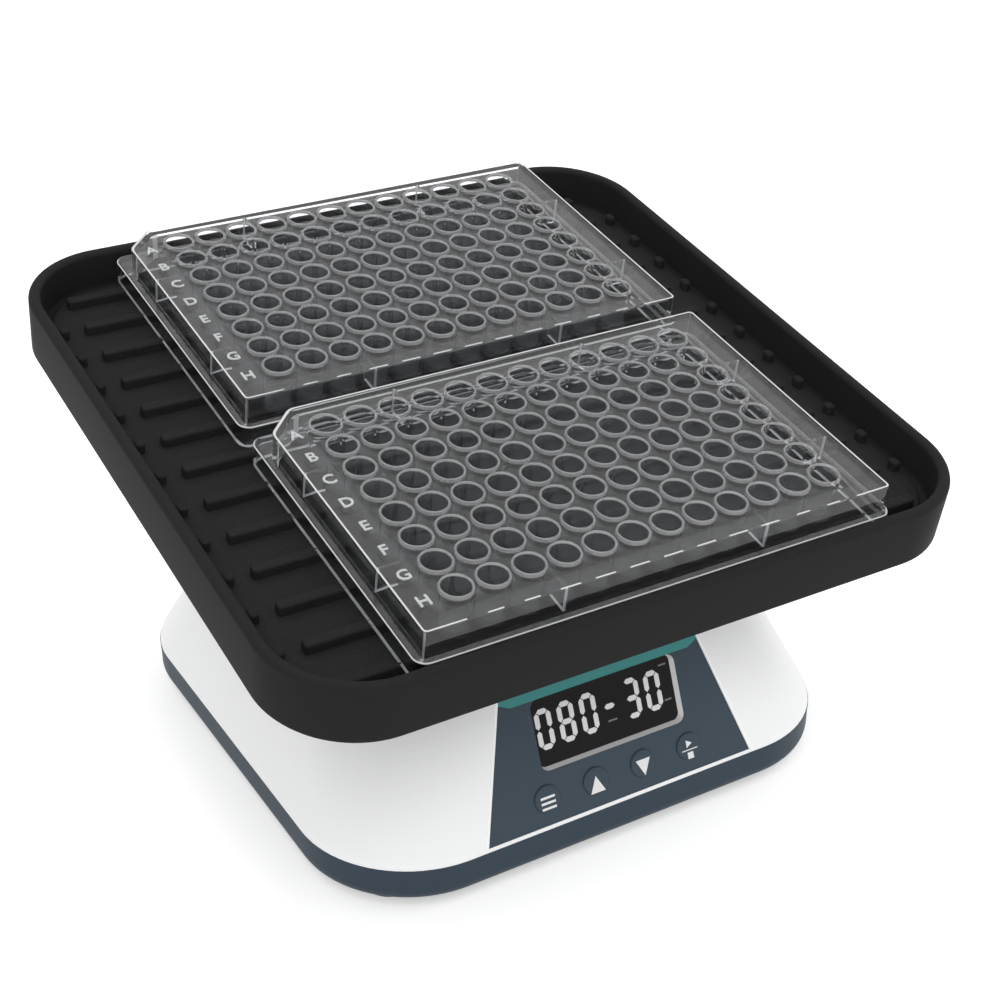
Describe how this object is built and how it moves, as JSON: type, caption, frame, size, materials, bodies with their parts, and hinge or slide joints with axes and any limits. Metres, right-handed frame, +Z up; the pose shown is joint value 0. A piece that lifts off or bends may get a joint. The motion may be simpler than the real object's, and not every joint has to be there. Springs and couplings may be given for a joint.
{
  "type": "three-dimensional shaker",
  "caption": "Compact bench shaker: a belt-driven leaning pin rocks a square tray with a ribbed mat round and round over a housing with keypad and display; two open 96-well microplates lie on it.",
  "frame": {"origin": "on the bench surface, on the upright spindle's axis under the tray", "axes": "+Z up along the spindle, -Y to the control panel at the front, +X to the right seen from the front"},
  "size_m": [0.1844, 0.1837, 0.1237],
  "materials": {
    "shell": "satin",
    "pan": "fine matt",
    "panel": "printed film, matt",
    "accent": "printed film, matt",
    "bezel": "bright edge",
    "display_window": "polished",
    "key": "satin",
    "board": "solder mask",
    "component": "moulded",
    "foot_rubber": "matt",
    "boot_rubber": "matt",
    "screw_steel": "zinc plated",
    "chassis_steel": "plated sheet",
    "housing_aluminium": "turned",
    "bearing_steel": "ground",
    "motor_case": "satin",
    "pulley": "moulded",
    "belt": "matt",
    "shaft_steel": "ground",
    "weight_brass": "turned",
    "tray_metal": "fine matt powder coat",
    "mat_rubber": "matt",
    "microplate": "clear polystyrene"
  },
  "bodies": {
    "base": {"bottom_pan": "pan", "top_shell": "shell", "rubber_feet": "foot_rubber", "housing_screws": "screw_steel", "control_panel": "panel", "accent_stripe": "accent", "lcd_bezel": "bezel", "lcd_window": "display_window", "lcd_module": "component", "control_board": "board", "key_switches": "component", "rear_plate": "pan", "power_inlet": "component", "switch_body": "component", "power_board": "board", "chassis_standoffs": "screw_steel", "chassis_plate": "chassis_steel", "chassis_screws": "screw_steel", "bearing_housing": "housing_aluminium", "housing_bolts": "screw_steel", "lower_bearing": "bearing_steel", "upper_bearing": "bearing_steel", "motor": "motor_case", "motor_screws": "screw_steel", "drive_belt": "belt"},
    "spindle": {"spindle_pulley": "pulley", "spindle_shaft": "shaft_steel", "crank_head": "housing_aluminium", "counterweight": "weight_brass", "tilt_pin": "shaft_steel", "pin_spacers": "shaft_steel", "pin_retainer": "screw_steel"},
    "motor_rotor": {"motor_pulley": "pulley"},
    "platform": {"carrier": "housing_aluminium", "lower_hub_bearing": "bearing_steel", "upper_hub_bearing": "bearing_steel", "hub_circlip": "shaft_steel", "rubber_boot": "boot_rubber", "boot_clamp": "screw_steel", "tray": "tray_metal", "tray_screws": "screw_steel", "ribbed_mat": "mat_rubber"},
    "front_plate": {"plate_front": "microplate"},
    "back_plate": {"plate_back": "microplate"},
    "menu_button": {"menu_key": "key"},
    "up_button": {"up_key": "key"},
    "down_button": {"down_key": "key"},
    "start_button": {"start_key": "key"},
    "rocker": {"switch_rocker": "component"}
  },
  "joints": [
    {"name": "spindle_spin", "type": "hinge", "parent": "base", "child": "spindle", "pos_m": [0, 0, 0.048], "axis": [0, 0, 1], "continuous": true},
    {"name": "platform_swivel", "type": "hinge", "parent": "spindle", "child": "platform", "pos_m": [0, 0, 0.088], "axis": [0, -0.1908, 0.9816], "continuous": true},
    {"name": "motor_spin", "type": "hinge", "parent": "base", "child": "motor_rotor", "pos_m": [0.037, 0.013, 0.02], "axis": [0, 0, 1], "continuous": true},
    {"name": "front_plate_lift", "type": "slide", "parent": "platform", "child": "front_plate", "axis": [0, -0.1908, 0.9816], "range_m": [0, 0.06]},
    {"name": "back_plate_lift", "type": "slide", "parent": "platform", "child": "back_plate", "axis": [0, -0.1908, 0.9816], "range_m": [0, 0.06]},
    {"name": "menu_press", "type": "slide", "parent": "base", "child": "menu_button", "axis": [0, 0.9285, -0.3714], "range_m": [0, 0.00045], "stiffness_N_per_m": 300},
    {"name": "up_press", "type": "slide", "parent": "base", "child": "up_button", "axis": [0, 0.9285, -0.3714], "range_m": [0, 0.00045], "stiffness_N_per_m": 300},
    {"name": "down_press", "type": "slide", "parent": "base", "child": "down_button", "axis": [0, 0.9285, -0.3714], "range_m": [0, 0.00045], "stiffness_N_per_m": 300},
    {"name": "start_press", "type": "slide", "parent": "base", "child": "start_button", "axis": [0, 0.9285, -0.3714], "range_m": [0, 0.00045], "stiffness_N_per_m": 300},
    {"name": "rocker_tilt", "type": "hinge", "parent": "base", "child": "rocker", "pos_m": [0.012, 0.0612, 0.026], "axis": [1, 0, 0], "range_deg": [-14, 0]}
  ],
  "couplings": [
    {"joint": "platform_swivel", "follows": "spindle_spin", "ratio": -1},
    {"joint": "motor_spin", "follows": "spindle_spin", "ratio": 3}
  ]
}
